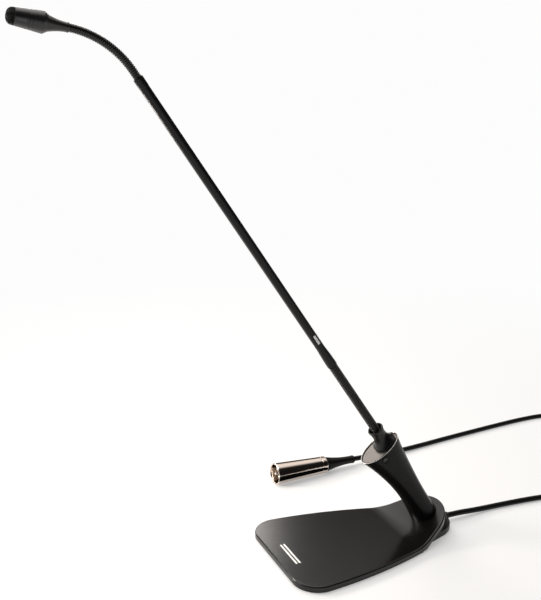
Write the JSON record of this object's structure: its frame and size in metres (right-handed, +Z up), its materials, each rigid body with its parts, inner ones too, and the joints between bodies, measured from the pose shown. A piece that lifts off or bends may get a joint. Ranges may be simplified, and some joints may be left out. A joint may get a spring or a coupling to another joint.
{
  "type": "gooseneck podium microphone",
  "caption": "Desk microphone on a weighted, leaning base: plug-in gooseneck with a bendable foot and a bendable top, a small capsule head, and an attached lead with a three-pin plug.",
  "frame": {"origin": "on the resting face of the rubber pads, on the base's mirror plane, 76 mm behind its front edge", "axes": "+Z up, -Y towards the front edge and the talker, +X towards the base's right-hand side as seen from the talker's left"},
  "size_m": [0.196, 0.5875, 0.3937],
  "materials": {
    "black_casting": "satin black paint",
    "weight_steel": "raw steel",
    "bottom_plastic": "matte black",
    "pad_rubber": "matte black rubber",
    "screw_steel": "zinc plated",
    "cover_plastic": "fine texture, dark grey",
    "post_paint": "satin black paint",
    "top_plate": "satin dark grey",
    "button_plastic": "gloss black",
    "slide_plastic": "natural",
    "spring_steel": "bright",
    "plug_nickel": "satin nickel",
    "insulator": "black",
    "contact_silver": "silver plated brass",
    "board_green": "green laminate",
    "board_parts": "black",
    "gland_rubber": "matte black rubber",
    "cord_jacket": "matte black jacket",
    "clamp_plastic": "black",
    "collar_paint": "semi-gloss black",
    "flex_steel": "black wound steel",
    "stem_paint": "gloss black paint",
    "wires": "grey insulation",
    "head_paint": "satin black",
    "foam": "black open-cell foam",
    "capsule_metal": "satin",
    "gasket_rubber": "black",
    "chuck_plastic": "black"
  },
  "bodies": {
    "base": {"base_casting": "black_casting", "base_weight": "weight_steel", "bottom_cover": "bottom_plastic", "rubber_pads": "pad_rubber", "base_screws": "screw_steel", "rear_cover": "cover_plastic", "post_shell": "post_paint", "post_top_plate": "top_plate", "post_screws": "screw_steel", "socket_housing": "plug_nickel", "socket_insert": "insulator", "socket_contacts": "contact_silver", "circuit_board": "board_green", "board_parts": "board_parts", "cable_gland": "gland_rubber", "inner_lead": "cord_jacket", "cable_clamp": "clamp_plastic", "clamp_screws": "screw_steel", "cord_lead": "cord_jacket", "cord_coil": "cord_jacket", "cord_return": "cord_jacket", "cord_boot": "gland_rubber", "cord_plug_shell": "plug_nickel", "cord_plug_insert": "insulator", "cord_plug_pins": "contact_silver", "cord_plug_chuck": "chuck_plastic"},
    "button": {"release_button": "button_plastic", "latch_slide": "slide_plastic", "button_spring": "spring_steel"},
    "foot": {"collar": "collar_paint", "plug_housing": "plug_nickel", "plug_insert": "insulator", "plug_contacts": "contact_silver", "lower_flex_root": "flex_steel"},
    "lower_link_1": {"lower_flex_1": "flex_steel"},
    "lower_link_2": {"lower_flex_2": "flex_steel"},
    "lower_link_3": {"lower_flex_3": "flex_steel"},
    "lower_link_4": {"lower_flex_4": "flex_steel"},
    "lower_link_5": {"lower_flex_5": "flex_steel"},
    "stem": {"lower_flex_end": "flex_steel", "lower_ferrule": "stem_paint", "stem_tube": "stem_paint", "stem_wires": "wires", "upper_sleeve": "stem_paint", "upper_flex_root": "flex_steel"},
    "upper_link_1": {"upper_flex_1": "flex_steel"},
    "upper_link_2": {"upper_flex_2": "flex_steel"},
    "upper_link_3": {"upper_flex_3": "flex_steel"},
    "upper_link_4": {"upper_flex_4": "flex_steel"},
    "upper_link_5": {"upper_flex_5": "flex_steel"},
    "upper_link_6": {"upper_flex_6": "flex_steel"},
    "upper_link_7": {"upper_flex_7": "flex_steel"},
    "head": {"upper_flex_end": "flex_steel", "head_neck": "head_paint", "head_shell": "head_paint", "front_grille": "head_paint", "grille_foam": "foam", "capsule": "capsule_metal", "capsule_gasket": "gasket_rubber"}
  },
  "joints": [
    {"name": "gooseneck_unplug", "type": "slide", "parent": "base", "child": "foot", "axis": [0, -0.5664, 0.8241], "range_m": [0, 0.025]},
    {"name": "button_press", "type": "slide", "parent": "base", "child": "button", "axis": [-1, 0, 0], "range_m": [0, 0.0015], "stiffness_N_per_m": 400},
    {"name": "lower_pitch_1", "type": "hinge", "parent": "foot", "child": "lower_link_1", "pos_m": [0, 0.00574, 0.09741], "axis": [1, 0, 0], "range_deg": [-13, 13]},
    {"name": "lower_side_1", "type": "hinge", "parent": "lower_link_1", "child": "lower_link_2", "pos_m": [0, -0.00115, 0.10745], "axis": [0, 0.8241, 0.5664], "range_deg": [-13, 13]},
    {"name": "lower_pitch_2", "type": "hinge", "parent": "lower_link_2", "child": "lower_link_3", "pos_m": [0, -0.00805, 0.11749], "axis": [1, 0, 0], "range_deg": [-13, 13]},
    {"name": "lower_side_2", "type": "hinge", "parent": "lower_link_3", "child": "lower_link_4", "pos_m": [0, -0.01495, 0.12752], "axis": [0, 0.8241, 0.5664], "range_deg": [-13, 13]},
    {"name": "lower_pitch_3", "type": "hinge", "parent": "lower_link_4", "child": "lower_link_5", "pos_m": [0, -0.02185, 0.13756], "axis": [1, 0, 0], "range_deg": [-13, 13]},
    {"name": "lower_side_3", "type": "hinge", "parent": "lower_link_5", "child": "stem", "pos_m": [0, -0.02875, 0.1476], "axis": [0, 0.8241, 0.5664], "range_deg": [-13, 13]},
    {"name": "upper_pitch_1", "type": "hinge", "parent": "stem", "child": "upper_link_1", "pos_m": [0, -0.17527, 0.36079], "axis": [1, 0, 0], "range_deg": [-11.3, 10]},
    {"name": "upper_side_1", "type": "hinge", "parent": "upper_link_1", "child": "upper_link_2", "pos_m": [0, -0.179, 0.36521], "axis": [0, 0.7317, 0.6817], "range_deg": [-10, 10]},
    {"name": "upper_pitch_2", "type": "hinge", "parent": "upper_link_2", "child": "upper_link_3", "pos_m": [0, -0.18315, 0.36925], "axis": [1, 0, 0], "range_deg": [-11.3, 10]},
    {"name": "upper_side_2", "type": "hinge", "parent": "upper_link_3", "child": "upper_link_4", "pos_m": [0, -0.18767, 0.37285], "axis": [0, 0.5839, 0.8118], "range_deg": [-10, 10]},
    {"name": "upper_pitch_3", "type": "hinge", "parent": "upper_link_4", "child": "upper_link_5", "pos_m": [0, -0.19253, 0.37599], "axis": [1, 0, 0], "range_deg": [-11.3, 10]},
    {"name": "upper_side_3", "type": "hinge", "parent": "upper_link_5", "child": "upper_link_6", "pos_m": [0, -0.19767, 0.37864], "axis": [0, 0.4135, 0.9105], "range_deg": [-10, 10]},
    {"name": "upper_pitch_4", "type": "hinge", "parent": "upper_link_6", "child": "upper_link_7", "pos_m": [0, -0.20305, 0.38077], "axis": [1, 0, 0], "range_deg": [-11.3, 10]},
    {"name": "upper_side_4", "type": "hinge", "parent": "upper_link_7", "child": "head", "pos_m": [0, -0.20861, 0.38236], "axis": [0, 0.2271, 0.9739], "range_deg": [-10, 10]}
  ]
}
